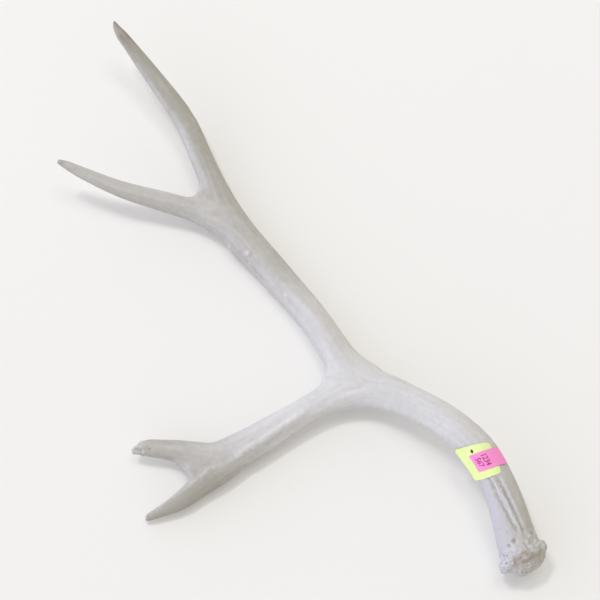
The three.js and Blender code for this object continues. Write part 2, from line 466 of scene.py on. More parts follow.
# %% Furrows on the beam and at the main fork
BEAM_RIDGE = [(192, -72), (170, -73), (148, -73), (125, -74), (106, -76)]
BEAM_FURROW = [(172, -30), (148, -42), (125, -48), (106, -52)]
RIGHT_OF_LABELS = [(150, 54), (139, 50), (124, 43), (110, 34), (100, 24)]
RIGHT_EDGE = [(258, 34), (248, 37), (233, 50), (218, 54), (193, 44), (177, 32), (163, 26)]
FORK_STEP = [(258, -21), (246, -15), (232, -6), (224, 0), (216, -2), (207, -7), (194, -11)]
FORK_RIDGE = [(256, -32), (246, -25), (232, -16), (222, -9), (210, -14), (198, -20)]
FORK_CREASE = [(240, 26), (231, 29), (222, 31), (213, 25)]
furrow("upper", BEAM_RIDGE, 4.5, -0.9, fade=0.3)
furrow("upper", BEAM_FURROW, 3.0, 0.4, fade=0.3)
furrow("upper", RIGHT_OF_LABELS, 2.6, 0.4, fade=0.3)
furrow("upper", RIGHT_EDGE, 4.6, 0.45, fade=0.3)
furrow("front", FORK_STEP, 2.5, 0.6, fade=0.3)
furrow("front", FORK_RIDGE, 3.6, -0.65, fade=0.3)
furrow("front", FORK_CREASE, 2.3, 0.28, fade=0.3)
print("furrows on the beam pressed in")

# %% [markdown]
# A strong ridge runs from the front beam into the front fork, with a broad hollow on its left and a
# shallower one on its right. A lower ridge goes on down the lower tine.

# %% Ridge and hollows of the front branch
FRONT_RIDGE = [(250, -6), (280, -12), (300, -14), (316, -17), (325, -30), (333, -42)]
LEFT_HOLLOW = [(250, -38), (275, -42), (300, -44), (315, -50)]
LOWER_RIDGE = [(322, -24), (330, -8), (340, 10), (352, 20), (369, 26), (392, 28)]
RIGHT_HOLLOW = [(262, 16), (288, 18), (307, 15), (325, 4)]
furrow("front", FRONT_RIDGE, 3.8, -1.9, fade=0.2)
furrow("front", LEFT_HOLLOW, 6.5, 1.0, fade=0.3)
furrow("lower", LOWER_RIDGE, 3.2, -0.7, fade=0.3)
furrow("front", RIGHT_HOLLOW, 5.0, 0.4, fade=0.3)
print("relief so far from %.2f to %.2f mm" % (height.min(), height.max()))

# %% [markdown]
# Furrows also run up the sides and the back of the limbs, where they are drawn at random. Each keeps
# to its own degrees round the bone and sways a little.

# %% Furrows round the rest of the antler
MARKS = 6  # places that a swaying furrow passes
SIDE_START = 12  # mm along
SIDE_FURROWS = [  # degrees round, and mm long
    (60, 95), (95, 70), (125, 120), (155, 85), (-175, 110), (-145, 75), (-115, 100),
]
LIMB_FURROWS = [  # limb, start and end in mm along, and degrees round
    ("upper", 230, 330, 60), ("upper", 240, 340, 170), ("upper", 400, 520, 60), ("rear", 400, 480, 150),
    ("front", 230, 300, 150), ("front", 320, 380, -160), ("upper", 420, 540, 165),
]


def swaying_furrow(limb, start, length, degrees, most_sway, widths, depths):
    """A furrow that sways by up to so many degrees, its width and depth between two values."""
    sway = [random.uniform(-most_sway, most_sway) for _ in range(MARKS)]
    marks = [(start + length * i / (MARKS - 1), degrees + sway[i]) for i in range(MARKS)]
    furrow(limb, marks, random.uniform(*widths), random.uniform(*depths), fade=0.3)


for degrees, length in SIDE_FURROWS:
    swaying_furrow("upper", SIDE_START, length, degrees, 7, (1.3, 2.2), (0.35, 0.7))
for limb, start, end, degrees in LIMB_FURROWS:
    swaying_furrow(limb, start, end - start, degrees, 4, (2.4, 3.2), (0.2, 0.35))
print("swaying furrows:", len(SIDE_FURROWS + LIMB_FURROWS))

# %% [markdown]
# ## Pits and nubs
# Near the burr the bone has open pits where vessels entered, and small pearls of extra bone. A pit is
# a round dent with a slight lip. Further up, only a few nubs and two shallow pits mark the rear beam.
# The same soft bump, made broad, fills the bone out where it swells. Each is given as its mm along,
# its degrees round, its radius, and its depth or rise.


# %% Pits and nubs
LIP_RING = 1.6  # radii from the middle of a dent to its lip
LIP_WIDTH = 0.5  # radii


def dent(limb, along, degrees, radius, depth, lip=0.08):
    """A round dent of that depth with a slight lip round it."""
    middle = on_bone(limb, along, degrees)[0]
    gap = np.linalg.norm(skin - middle, axis=1) / radius
    height[:] -= depth * (np.exp(-(gap**2)) - lip * np.exp(-(((gap - LIP_RING) / LIP_WIDTH) ** 2)))


def nub(limb, along, degrees, radius, rise):
    """A soft round bump, broad or small."""
    dent(limb, along, degrees, radius, -rise, lip=0)


BURR_PITS = [
    (14.5, -23, 1.8, 1.7), (12, -42, 1.4, 1.2), (5, -66, 1.3, 1.2), (5, -55, 1.2, 1.2),
    (0, -55, 1.5, 1.4), (0, -41, 1.5, 1.4), (27, -52, 1.2, 0.25), (23, -34, 1.3, 0.3),
    (33, -66, 1.1, 0.2), (9, 18, 1.1, 0.8), (10, 30, 1.2, 0.8), (5, 40, 1.3, 0.9), (16, 45, 1.1, 0.6),
]
BURR_NUBS = [
    (15, 29, 1.8, 0.8), (7, 10, 1.5, 0.6), (6, 17, 1.5, 0.6), (15, 56, 2.6, 1.1), (19, 42, 1.7, 0.5),
    (9, -30, 2.6, 0.6),
]
BEAM_NUBS = [(359, -42, 2.1, 1.3), (375, -80, 1.8, 0.9), (308, -38, 1.7, 0.6), (351, -63, 1.6, 0.5)]
BEAM_PITS = [(355, -35, 1.6, 0.35), (334, 62, 1.4, 0.5)]
for along, degrees, radius, depth in BURR_PITS + BEAM_PITS:
    dent("upper", along, degrees, radius, depth)
for along, degrees, radius, rise in BURR_NUBS + BEAM_NUBS:
    nub("upper", along, degrees, radius, rise)
SWELLINGS = [
    ("upper", 196, 88, 13, 1.5), ("upper", 178, 84, 11, 1.1), ("front", 330, 84, 16, 0.9),
    ("lower", 345, -80, 14, 0.8), ("lower", 385, -80, 12, 0.8), ("upper", 45, -88, 14, 0.9),
    ("upper", 372, -85, 14, 0.8), ("upper", 590, -70, 8, 0.6), ("upper", 205, -85, 14, 1.0),
    ("upper", 165, -80, 16, 0.5),
]
for swelling in SWELLINGS:
    nub(*swelling)
print("swellings:", len(SWELLINGS))

# %% [markdown]
# The sides and the back of the foot carry more pits and nubs, drawn at random and crowded towards the
# burr.

# %% Pits and nubs round the foot
SIDE_MARKS = 34
for _ in range(SIDE_MARKS):
    degrees = random.uniform(75, 270)
    along = 6 + 64 * random.random() ** 2
    small = random.uniform(0.9, 1.7)
    dent("upper", along, degrees, small, random.choice((-0.5, -0.4, 0.45)) * small)
print("pits and nubs:", len(BURR_PITS + BURR_NUBS + BEAM_PITS + BEAM_NUBS) + SIDE_MARKS)

# %% [markdown]
# ## The burr
# The coronet is a ring of knobs that crowd each other, with cracks between them, and the face under it
# is the rough convex scar where the antler came off the skull. Places on it are measured from the
# ring's own axis: how far out, and how far up the beam or down to the scar. The knobs are wildest at
# the sides and below.

# %% Knobs, cracks and scar
CORONET_SEAT = BURR + np.array([1, 1.5, 20.5])
CORONET_AXIS = unit(np.array([-0.52, 0.85, 0.03]))
from_seat = skin - CORONET_SEAT
up_beam = from_seat @ CORONET_AXIS
from_axis = np.linalg.norm(from_seat - up_beam[:, None] * CORONET_AXIS, axis=1)
near_ring = np.exp(-(((up_beam + 0.5) / 6) ** 2)) * rise_between(11, 15, from_axis)
on_scar = rise_between(1, -3, up_beam) * rise_between(20, 13, from_axis)
round_degrees = np.degrees(np.arctan2(-grain[:, 1], grain[:, 2]))
off_top = rise_between(70, 120, np.abs(round_degrees))
on_right = rise_between(40, 70, round_degrees)
wild = 0.55 + 0.65 * off_top - 0.2 * on_right
knobs = wander(skin, 7.5, 41) + 0.4 * wander(skin, 3.6, 42)
cracks = 1 - np.abs(wander(skin, 8.0, 43)) / 0.10
height += near_ring * wild * (1.2 * knobs - 0.7 * np.clip(cracks, 0, 1))
height += on_scar * (0.9 * wander(skin, 6.0, 45) + 0.5 * wander(skin, 2.6, 46))
print("the ring takes %.0f%% of the skin" % (100 * (near_ring > 0.5).mean()))

# %% [markdown]
# The last centimetres of the beam are coarser towards the ring. The ring itself has large lobes at the
# left and the right, with a waist in the beam above the left one, and a deep cleft where it overhangs
# the scar.

# %% Coarse bone, lobes and clefts
near_burr = rise_between(26, 4, grain[:, 0])
height += near_burr * (0.10 * wander(skin, 1.7, 44) + 0.26 * wander(skin, 4.0, 47))
height += rise_between(16, 8, grain[:, 0]) * 0.5 * wander(skin, 2.7, 48)
LOBES = [(-2, -84, 3.6, 1.9), (-4, -62, 3.0, 0.7), (1, 36, 9, 1.4), (-6, 70, 7, 1.6)]
WAIST = (9, -86, 4.0, -0.7)
for lobe in LOBES:
    nub("upper", *lobe)
nub("upper", *WAIST)
LEFT_CLEFT = [(-3, -72), (-5, -64), (-7, -58), (-8, -46)]
LEFT_LIP = [(-2, -70), (-3, -62), (-5, -46), (-6, -36)]
MIDDLE_CLEFT = [(-9, -36), (-4, -33), (-1, -20), (3, -8), (5, 2)]
NOTCHES = [(1.1, [(12, 2), (7, 5), (3, 6)]), (1.2, [(13, 20), (8, 25), (3, 26)])]  # width and path
furrow("upper", LEFT_CLEFT, 1.3, 0.9)
furrow("upper", LEFT_LIP, 1.5, -0.6)
furrow("upper", MIDDLE_CLEFT, 2.6, 1.7)
for width, path in NOTCHES:
    furrow("upper", path, width, 0.6)
print("lobes of the coronet:", len(LOBES))

# %% [markdown]
# Now every vertex is moved out by its height, along the direction that the plain skin faces. What
# would reach below the table stays on it.

# %% Raise the relief
skin = skin + out * height[:, None]
skin[:, 2] = np.maximum(skin[:, 2], 0)
move_to(antler, skin)
pick(antler)
bpy.ops.object.shade_smooth()
print("relief from %.2f to %.2f mm" % (height.min(), height.max()))

# %% [markdown]
# ## Worn tips
# One tine is chipped to a slanted point, and two others are worn blunt. Every vertex beyond the
# broken face is pushed back onto it, which leaves a trace of the old shape. The chipped tine's end is
# rough, with three open pits.


# %% Break the tips off
def break_off(limb, along, degrees, facing, reach, roughness):
    """Pushes what lies beyond a broken face back onto it. Returns how far each vertex was beyond."""
    at = on_bone(limb, along, degrees)[0]
    facing = unit(np.array(facing, float))
    beyond = (skin - at) @ facing
    close = np.linalg.norm(skin - at, axis=1) < reach
    beyond = np.where(close, np.maximum(beyond, 0), 0)
    lumps = wander(skin, 3.2, 61) + 0.6 * wander(skin, 1.5, 62)
    rough = roughness * lumps * rise_between(0, 0.8, beyond)
    skin[:] = skin - facing * (PUSHED_BACK * beyond - rough)[:, None]
    return beyond


def blot(limb, along, degrees, radius):
    """1 at that place on the bone, fading to 0 over about this radius."""
    middle = on_bone(limb, along, degrees)[0]
    return np.exp(-((np.linalg.norm(skin - middle, axis=1) / radius) ** 2))


CHIP_PITS = [(404, 17, 1.6), (401, 1, 1.5), (394, 10, 1.8)]  # mm along, degrees round, radius
CHIP_PIT_DEPTH = 0.9
PUSHED_BACK = 0.96  # of the way to the broken face
skin_tree = tree_of(antler)
chipped = break_off("front", 403.8, 60, facing=(-0.60, 0.76, 0.26), reach=25, roughness=0.6)
ragged = rise_between(22, 12, np.linalg.norm(skin - lines["front"].places[-1], axis=1))
pitted = 0.4 * wander(skin, 3.6, 63) + 0.35 * wander(skin, 1.8, 64) - 0.1
chip_pits = sum(blot("front", *pit) for pit in CHIP_PITS)
skin = skin + normals_of(antler) * (ragged * pitted - CHIP_PIT_DEPTH * chip_pits)[:, None]
break_off("lower", 413.6, 0, facing=(-1, 0.1, 0.05), reach=12, roughness=0.15)
break_off("upper", 606, 0, facing=(-0.75, 0.62, 0.3), reach=10, roughness=0.25)
move_to(antler, skin)
print("the chip takes %.1f mm at the most" % chipped.max())

# %% [markdown]
# ## Marks for the paint
# Hollows are darkened with dirt and painted shade, proud places get a painted highlight, and tips rub
# brown. Seven marks are kept on the vertices for the material to read: the place on the bone for
# lengthwise streaks, how hollow and how proud the surface is, how bare of paint, how brown, where
# painted shade makes the grey cooler, and how thin the coat is, with painted light and shade by facing.


# %% Measure hollows and proud places
FINE_HOLLOW = 0.12  # mm deep where the mark is full
BROAD_HOLLOW = 0.3
FULLY_PROUD = 0.35  # mm high where the mark is full


def hollowness(rounds):
    """How deep each vertex lies below a smoothed copy of the skin, in mm."""
    smooth = skin
    for _ in range(rounds):
        smooth = pull_to_neighbours(smooth, skin_edges, 0.5)
    return ((smooth - skin) * normals_of(antler)).sum(1)


def proudness(rounds):
    """How far the relief stands above a smoothed copy of itself, in mm."""
    smooth = height[:, None]
    for _ in range(rounds):
        smooth = pull_to_neighbours(np.repeat(smooth, 3, axis=1), skin_edges, 0.5)[:, :1]
    return height - smooth[:, 0]


# hollow sets dirt and painted shade in the recesses, strongest near the burr and in the chip's pits.
hollow = hollowness(5) / FINE_HOLLOW + 0.5 * hollowness(24) / BROAD_HOLLOW
hollow *= 0.35 + 0.65 * rise_between(130, 80, grain[:, 0])
hollow += 1.2 * chip_pits
# proud sets a painted highlight on raised places.
proud = proudness(12) / FULLY_PROUD
print("hollow places: %.0f%% of the skin" % (100 * (hollow > 0.5).mean()))

# %% [markdown]
# The coat is thick on the beam and thin on the tines, because the spray came from over the beam. A
# table for each limb says how thin it is along the way. Painted light and shade is added by the side a
# place faces: sides facing left are made lighter, and sides facing the front, and near the foot the
# right, darker.

# %% How thin the coat is
COAT = {  # pairs of mm along and thinness
    "upper": (
        (0, 0.5), (45, 0.47), (95, 0.16), (190, 0.08), (215, 0.06), (285, 0.13), (320, 0.53), (355, 0.61),
        (425, 0.72), (470, 0.86), (510, 0.97),
    ),
    "rear": ((345, 0.55), (400, 0.44), (460, 0.38), (530, 0.5)),
    "front": ((194, 0.1), (240, -0.05), (290, 0.02), (315, 0.24), (367, 0.61)),
    "lower": ((291, 0.2), (322, 0.5), (345, 0.78), (365, 1.0)),
}


def coat_thinness_and_side_shade():
    """How thin the coat is, from 0 to 1, at each vertex, with painted light and shade by its facing."""
    found, share = limbs_at(skin)
    along = grain[:, 0]
    facing = normals_of(antler)
    thin = sum(
        part * np.interp(places[:, 0], *zip(*COAT[name]))
        for name, part, places in zip(lines, share, found)
    )
    thin += 0.08 * wander(grain, (60, 14, 14), 71)
    on_tine = rise_between(380, 400, along) * rise_between(560, 500, along)
    on_rear_tine = share[list(lines).index("rear")]
    # Painted light: sides facing left are made lighter, less so on the rear tine.
    painted_left_light = (0.42 + 0.12 * on_tine) * (1 - 0.8 * on_rear_tine)
    thin *= 1 - painted_left_light * rise_between(0.2 - 0.1 * on_tine, 0.75 - 0.05 * on_tine, -facing[:, 0])
    # Painted shade: the rear tine's side facing the front is darker.
    thin += 0.08 * on_rear_tine * rise_between(0.1, 0.7, -facing[:, 1])
    # Painted shade: beyond about 200 mm along, sides facing the front are darker, and near the foot sides
    # facing right.
    to_the_front = np.maximum(facing @ np.array([0.25, -0.97, 0.0]), 0)
    thin += 0.18 * rise_between(180, 225, along) * to_the_front
    thin += 0.12 * facing[:, 0] * rise_between(130, 60, along)
    return np.clip(thin, 0, 1)


# thin holds the coat's thinness along each limb together with painted light and shade by facing.
thin = coat_thinness_and_side_shade()
print("the coat is %.2f thin on average" % thin.mean())

# %% [markdown]
# Bone shows bare in spots on the coronet and on the chipped tine's end. The worn tips are brown, and
# the side of the foot that faces left gets a darker, cooler grey as painted shade. All seven marks are
# then kept as attributes of the mesh.

# %% Bare and brown places, painted shade on the left, and the marks
BARE_SPOTS = [(2, -8, 4), (-3, -28, 4), (-1, -18, 4.5), (-2, 34, 4), (-12, -6, 4), (-7, 10, 4)]
bare = np.clip(sum(blot("upper", *spot) for spot in BARE_SPOTS), 0, 1)
bare = bare + 0.5 * near_ring * rise_between(0.1, 0.5, wander(skin, 7, 51))
bare = np.maximum(bare, 0.3 * ragged * rise_between(0.0, 0.35, wander(skin, 3.4, 65)))
brown_streaks = rise_between(-0.1, 0.3, wander(grain, (14, 2.5, 2.5), 81))
brown = rise_between(545, 600, grain[:, 0]) * (0.38 + 0.55 * brown_streaks)
from_rear_end = np.linalg.norm(skin - lines["rear"].places[-1], axis=1)
brown = np.maximum(brown, 0.5 * rise_between(9, 5, from_rear_end))
# Painted shade: the foot's side facing left gets a darker, cooler grey.
left_shade = rise_between(125, 70, grain[:, 0]) * rise_between(0.1, 0.6, -normals_of(antler)[:, 0])


def keep_mark(piece, name, values, kind="FLOAT"):
    layer = piece.data.attributes.new(name, kind, "POINT")
    layer.data.foreach_set("vector" if kind == "FLOAT_VECTOR" else "value", np.ravel(values))


keep_mark(antler, "grain", grain, "FLOAT_VECTOR")
marks = dict(hollow=hollow, proud=proud, bare=bare, brown=brown, left_shade=left_shade, thin=thin)
for name, values in marks.items():
    keep_mark(antler, name, np.clip(values, 0, 1))
print("marks kept:", [layer.name for layer in antler.data.attributes if layer.domain == "POINT"])

# %% [markdown]
# ## Small parts of a material
# A material is a tree of nodes, and most of its lines would only make a node and link it. A small
# class with a short name for each kind of node keeps the finishes themselves readable.


# %% Small parts of a material
class Finish:
    """A new material, with short names for the nodes that the finishes here use."""

    def __init__(self, name, roughness, specular=0.5):
        self.material = bpy.data.materials.new(name)
        self.material.use_nodes = True
        self.tree = self.material.node_tree
        self.shader = self.tree.nodes["Principled BSDF"]
        self.shader.inputs["Roughness"].default_value = roughness
        self.shader.inputs["Specular IOR Level"].default_value = specular

    def add(self, kind, **inputs):
        node = self.tree.nodes.new(kind)
        for name, value in inputs.items():
            self.feed(node.inputs[name.replace("_", " ")], value)
        return node

    def feed(self, socket, value):
        if isinstance(value, bpy.types.NodeSocket):
            self.tree.links.new(value, socket)
        else:
            socket.default_value = value

    def mark(self, name, output="Fac"):
        node = self.add("ShaderNodeAttribute")
        node.attribute_name = name
        return node.outputs[output]

    def on_object(self):
        return self.add("ShaderNodeTexCoord").outputs["Object"]

    def stretched(self, vector, scale):
        return self.add("ShaderNodeMapping", Vector=vector, Scale=scale).outputs["Vector"]

    def speckle(self, vector, scale, detail=3.0, roughness=0.55):
        sizes = dict(Scale=scale, Detail=detail, Roughness=roughness)
        return self.add("ShaderNodeTexNoise", Vector=vector, **sizes).outputs["Fac"]

    def between(self, value, low, high, start=0.0, end=1.0):
        range_sizes = dict(From_Min=low, From_Max=high, To_Min=start, To_Max=end)
        return self.add("ShaderNodeMapRange", Value=value, **range_sizes).outputs["Result"]

    def sum(self, first, second, kind="ADD"):
        node = self.add("ShaderNodeMath")
        node.operation = kind
        self.feed(node.inputs[0], first)
        self.feed(node.inputs[1], second)
        return node.outputs[0]

    def blend(self, share, first, second, kind="MIX"):
        node = self.add("ShaderNodeMix")
        node.data_type = "RGBA"
        node.blend_type = kind
        self.feed(node.inputs["Factor"], share)
        colours = [socket for socket in node.inputs if socket.type == "RGBA"]
        self.feed(colours[0], first)
        self.feed(colours[1], second)
        return [socket for socket in node.outputs if socket.type == "RGBA"][0]

    def bump(self, height, distance, strength=1.0, normal=None):
        node = self.add("ShaderNodeBump", Height=height, Distance=distance, Strength=strength)
        if normal is not None:
            self.feed(node.inputs["Normal"], normal)
        return node.outputs["Normal"]

    def set(self, **sockets):
        for name, value in sockets.items():
            self.feed(self.shader.inputs[name.replace("_", " ")], value)


def colour(red, green, blue):
    return (red, green, blue, 1.0)


print("material helpers ready")

# %% [markdown]
# ## Painted bone
# The finish is a thin, flat-drying grey paint over fibrous bone. A Principled shader gets a grey that
# drifts slightly, with warmer streaks along the grain where the coat is thin, dirt and painted shade
# in the hollows, painted light and shade by the side a place faces, a painted highlight on proud
# places and brownish bone where it is bare. The streaks read the bone's own places, so they bend with
# every limb.
# Fine bump adds the fibres that are too small for the mesh.

# %% Colours of paint and bone
PAINT = colour(0.635, 0.625, 0.627)
# The thin coat, also used as painted shade on sides facing the front and the right.
THIN_COAT_AND_SHADE = colour(0.379, 0.360, 0.318)
# A painted highlight for proud places.
PAINTED_HIGHLIGHT = colour(0.780, 0.770, 0.780)
# Painted shade, cooler, for the foot's side facing left.
LEFT_SHADE_GREY = colour(0.505, 0.495, 0.535)
# Grit in the paint, and dirt with painted shade in the hollows.
GRIT_AND_HOLLOW_SHADE = colour(0.340, 0.315, 0.285)
BARE_BONE = colour(0.365, 0.310, 0.275)
BROWN_TIP = colour(0.270, 0.225, 0.205)
print("the thick coat is %.0f%% lighter than the thin one" % (100 * (PAINT[1] / THIN_COAT_AND_SHADE[1] - 1)))

# %% [markdown]
# The patterns come first. Streaks and fibres are noise that is stretched along the bone's own length.
# The others are even specks, from a slow drift over centimetres down to grit in the paint.

# %% Patterns in the coat
bone = Finish("grey_painted_bone", roughness=0.55, specular=0.35)
grain_places = bone.mark("grain", "Vector")
skin_places = bone.on_object()
streaks = bone.speckle(bone.stretched(grain_places, (0.02, 0.30, 0.30)), 1.0, 4.0)
fibres = bone.speckle(bone.stretched(grain_places, (0.05, 1.1, 1.1)), 1.0, 3.0)
drift = bone.speckle(skin_places, 28.0, 2.0)
mottle = bone.speckle(skin_places, 210.0, 3.0, 0.6)
patches = bone.between(bone.speckle(skin_places, 260.0, 3.0), 0.3, 0.7, 0.25, 1.0)
grit_dots = bone.speckle(skin_places, 750.0, 3.0, 0.65)
print("patterns:", len([node for node in bone.tree.nodes if node.type == "TEX_NOISE"]))

# %% [markdown]
# The layers are blended from the paint outwards: the thick or thin coat with its painted side light
# and shade, the cooler painted shade on the left, grit, dirt and painted shade in the hollows, a
# painted highlight on proud places, bare bone, and last the brown of the rubbed tips.

# %% Layers of the coat
# The coat's thinness also carries painted light and shade by the side a place faces.
thinness_and_side_shade = bone.sum(bone.mark("thin"), bone.between(streaks, 0.35, 0.70, -0.09, 0.15))
thinness_and_side_shade = bone.sum(thinness_and_side_shade, bone.between(drift, 0.35, 0.65, -0.04, 0.08))
thinness_and_side_shade = bone.sum(thinness_and_side_shade, bone.between(mottle, 0.35, 0.65, -0.07, 0.09))
coat = bone.blend(thinness_and_side_shade, PAINT, THIN_COAT_AND_SHADE)
# Painted shade: a cooler grey on the foot's side facing left.
left_shade_share = bone.sum(bone.mark("left_shade"), 0.75, "MULTIPLY")
coat = bone.blend(left_shade_share, coat, LEFT_SHADE_GREY)
coat = bone.blend(bone.between(grit_dots, 0.60, 0.78, 0.0, 0.22), coat, GRIT_AND_HOLLOW_SHADE)
# Dirt and painted shade in the hollows.
hollow_dirt_and_shade = bone.between(bone.mark("hollow"), 0.1, 1.0, 0.0, 0.5)
coat = bone.blend(hollow_dirt_and_shade, coat, GRIT_AND_HOLLOW_SHADE)
# A painted highlight on proud places.
painted_highlight_share = bone.between(bone.mark("proud"), 0.1, 1.0, 0.0, 0.42)
coat = bone.blend(painted_highlight_share, coat, PAINTED_HIGHLIGHT)
worn_off = bone.sum(bone.mark("bare"), patches, "MULTIPLY")
coat = bone.blend(bone.between(worn_off, 0.1, 0.7, 0.0, 0.85), coat, BARE_BONE)
rubbed = bone.sum(bone.mark("brown"), bone.between(streaks, 0.3, 0.7, 0.5, 1.0), "MULTIPLY")
coat = bone.blend(rubbed, coat, BROWN_TIP)
fine_bump = bone.bump(grit_dots, 0.00012, 0.5)
fine_bump = bone.bump(fibres, 0.0003, 0.45, fine_bump)
bone.set(Base_Color=coat, Normal=fine_bump, Roughness=bone.between(streaks, 0.3, 0.7, 0.48, 0.66))
antler.data.materials.clear()
antler.data.materials.append(bone.material)
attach(antler, "root")
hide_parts(*BONES)
print("bone finished with", len(bone.tree.nodes), "nodes")

# %% [markdown]
# ## Paper labels
# Each label is a flat rectangle of paper with rounded corners, laid over the round beam. A flat grid
# is made first and then draped: a point's place on the grid is turned into a distance along the beam
# and degrees round it, and the skin is found there. The paper keeps a little clear of the bone, and
# where an edge has come loose it stands off further. A solidify gives it its thickness.


# %% A flat sheet with rounded corners
PAPER_CELL = 0.5  # mm


def sheet(name, wide, tall, corner):
    """A flat sheet of small cells, from -1 to 1 across and up, its corners rounded."""
    columns = round(wide / PAPER_CELL)
    rows = round(tall / PAPER_CELL)
    corner = (2 * corner / wide, 2 * corner / tall)
    bpy.ops.object.select_all(action="DESELECT")
    bpy.ops.mesh.primitive_grid_add(x_subdivisions=columns, y_subdivisions=rows, size=2)
    paper = bpy.context.object
    paper.name = name
    for vertex in paper.data.vertices:
        x = abs(vertex.co.x) - (1 - corner[0])
        y = abs(vertex.co.y) - (1 - corner[1])
        if x > 0 and y > 0:
            x = x / corner[0]
            y = y / corner[1]
            shrink = max(x, y) / math.hypot(x, y)
            vertex.co.x = math.copysign(1 - corner[0] + x * shrink * corner[0], vertex.co.x)
            vertex.co.y = math.copysign(1 - corner[1] + y * shrink * corner[1], vertex.co.y)
    return paper


print("a sheet has cells of", PAPER_CELL, "mm")

# %% [markdown]
# Each label is laid down by its four corners, in mm along the beam and degrees round it. The yellow-
# green one stands closest to the bone and has more wrinkles, and the pink one lies over it.

# %% Lay the paper on the beam
LIME = dict(
    paper=(30, 27), corner=3.2, lift=0.38, wrinkle=0.22,
    top_left=(105, -85), top_right=(91, 32), bottom_left=(72, -100), bottom_right=(67.5, 10),
)
PINK = dict(
    paper=(26, 16), corner=0.6, lift=0.90, wrinkle=0.12,
    top_left=(92.5, -54), top_right=(85, 50), bottom_left=(77, -57), bottom_right=(71.5, 50),
)
skin_tree = tree_of(antler)


def drape(x, y, label, lift):
    """The place on the beam of a label's point, from -1 to 1 across and up."""
    across = (x + 1) / 2
    up = (y + 1) / 2
    low = np.array(label["bottom_left"]) * (1 - across) + np.array(label["bottom_right"]) * across
    high = np.array(label["top_left"]) * (1 - across) + np.array(label["top_right"]) * across
    along, degrees = low * (1 - up) + high * up
    place, outward = on_bone("upper", along, degrees)
    if outward @ (place - lines["upper"].cross_section(along)[0]) < 0:
        outward = -outward
    return place + outward * lift


def paper_height(x, y, label):
    """How far the paper stands off the bone, in mm, with its small wrinkles."""
    return label["lift"] + label["wrinkle"] * noise.noise(Vector((x * 3, y * 3, label["lift"])))


def lime_looseness(x, y):
    """The left edge has come off the beam and curls out, and the lower edge waves."""
    curl = (2.0 + 1.0 * (1 - y * y)) * rise_between(-0.62, -1.0, x)
    wave = 0.35 * math.sin(5 * x) * rise_between(-0.6, -1.0, y)
    return float(curl + wave + 0.3 * rise_between(0.75, 1, y))


def pink_looseness(x, y):
    """The right end lifts a little, down the beam's right side."""
    return float(0.3 * rise_between(0.75, 1.0, x))


print("the beam's skin is ready for paper")

# %% [markdown]
# The draped sheet is still without thickness. Solidify builds its outer face and its edges, and the
# normals are made to point outwards. The rounded corners stay smooth and the paper's edges stay sharp.


# %% Two paper labels
PAPER = 0.16  # mm thick
SMOOTH_BELOW = math.radians(40)  # sharper edges stay sharp


def thicken(piece, thickness):
    """Turns a thin sheet into a closed plate of that many mm, its faces outwards."""
    finish_with(piece, "SOLIDIFY", thickness=thickness * MM, offset=1)
    bpy.ops.object.mode_set(mode="EDIT")
    bpy.ops.mesh.select_all(action="SELECT")
    bpy.ops.mesh.normals_make_consistent(inside=False)
    bpy.ops.object.mode_set(mode="OBJECT")
    bpy.ops.object.shade_smooth_by_angle(angle=SMOOTH_BELOW)


def label_on_beam(name, label, looseness):
    """A finished label of that shape, standing off further where it is loose."""
    paper = sheet(name, *label["paper"], label["corner"])
    for vertex in paper.data.vertices:
        x, y, _ = vertex.co
        lift = paper_height(x, y, label) + looseness(x, y)
        vertex.co = Vector(drape(x, y, label, lift)) * MM
    thicken(paper, PAPER)
    return paper


lime_label = label_on_beam("lime_label_paper", LIME, lime_looseness)
pink_label = label_on_beam("pink_label_paper", PINK, pink_looseness)
print("labels:", triangles_of(lime_label) + triangles_of(pink_label), "triangles")

# %% [markdown]
# ## Plain numbers
# A price gun prints small plain numbers in two rows. They are set as text, made a mesh with cells
# small enough to bend, and draped with the same rule as the paper, a hair above it. They run across
# the label's short way. A hair of thickness closes them.


# %% Print plain numbers
INK = 0.03  # mm thick
INK_LIFT = 0.09  # mm above the paper
PRINT_HEIGHT = 4.2  # mm
FIGURE_HEIGHT = 0.7  # of a figure in text of size 1


def printed(name, digits, centre, label):
    """A row of digits on a label, its middle at that place from -1 to 1 across and up."""
    bpy.ops.object.select_all(action="DESELECT")
    bpy.ops.object.text_add()
    text = bpy.context.object
    text.data.body = digits
    text.data.align_x = "CENTER"
    text.data.align_y = "CENTER"
    text.data.space_character = 0.93
    text.data.offset = 0.014  # fatter strokes
    text.data.resolution_u = 3
    pick(text)
    bpy.ops.object.convert(target="MESH")
    ink = bpy.context.object
    ink.name = name
    bpy.ops.object.mode_set(mode="EDIT")
    bpy.ops.mesh.select_all(action="SELECT")
    bpy.ops.mesh.remove_doubles(threshold=0.0001)
    bpy.ops.mesh.subdivide(number_cuts=2)
    bpy.ops.object.mode_set(mode="OBJECT")
    wide, tall = label["paper"]
    for vertex in ink.data.vertices:
        x, y, _ = vertex.co * PRINT_HEIGHT / FIGURE_HEIGHT
        across = centre[0] + y / (wide / 2)
        up = centre[1] - x / (tall / 2)
        lift = paper_height(across, up, label) + PAPER + INK_LIFT
        vertex.co = Vector(drape(across, up, label, lift)) * MM
    return ink


numbers = printed("pink_label_numbers", "1234", (-0.17, 0.06), PINK)
second_row = printed("second_row", "567", (-0.60, -0.04), PINK)
pick(numbers, second_row)
bpy.ops.object.join()
thicken(numbers, INK)
print("printed numbers:", triangles_of(numbers), "triangles")

# %% [markdown]
# A spot of dark ink lies near the top of the yellow-green label. It is a circle that is squeezed and
# slanted a little as it is laid down.

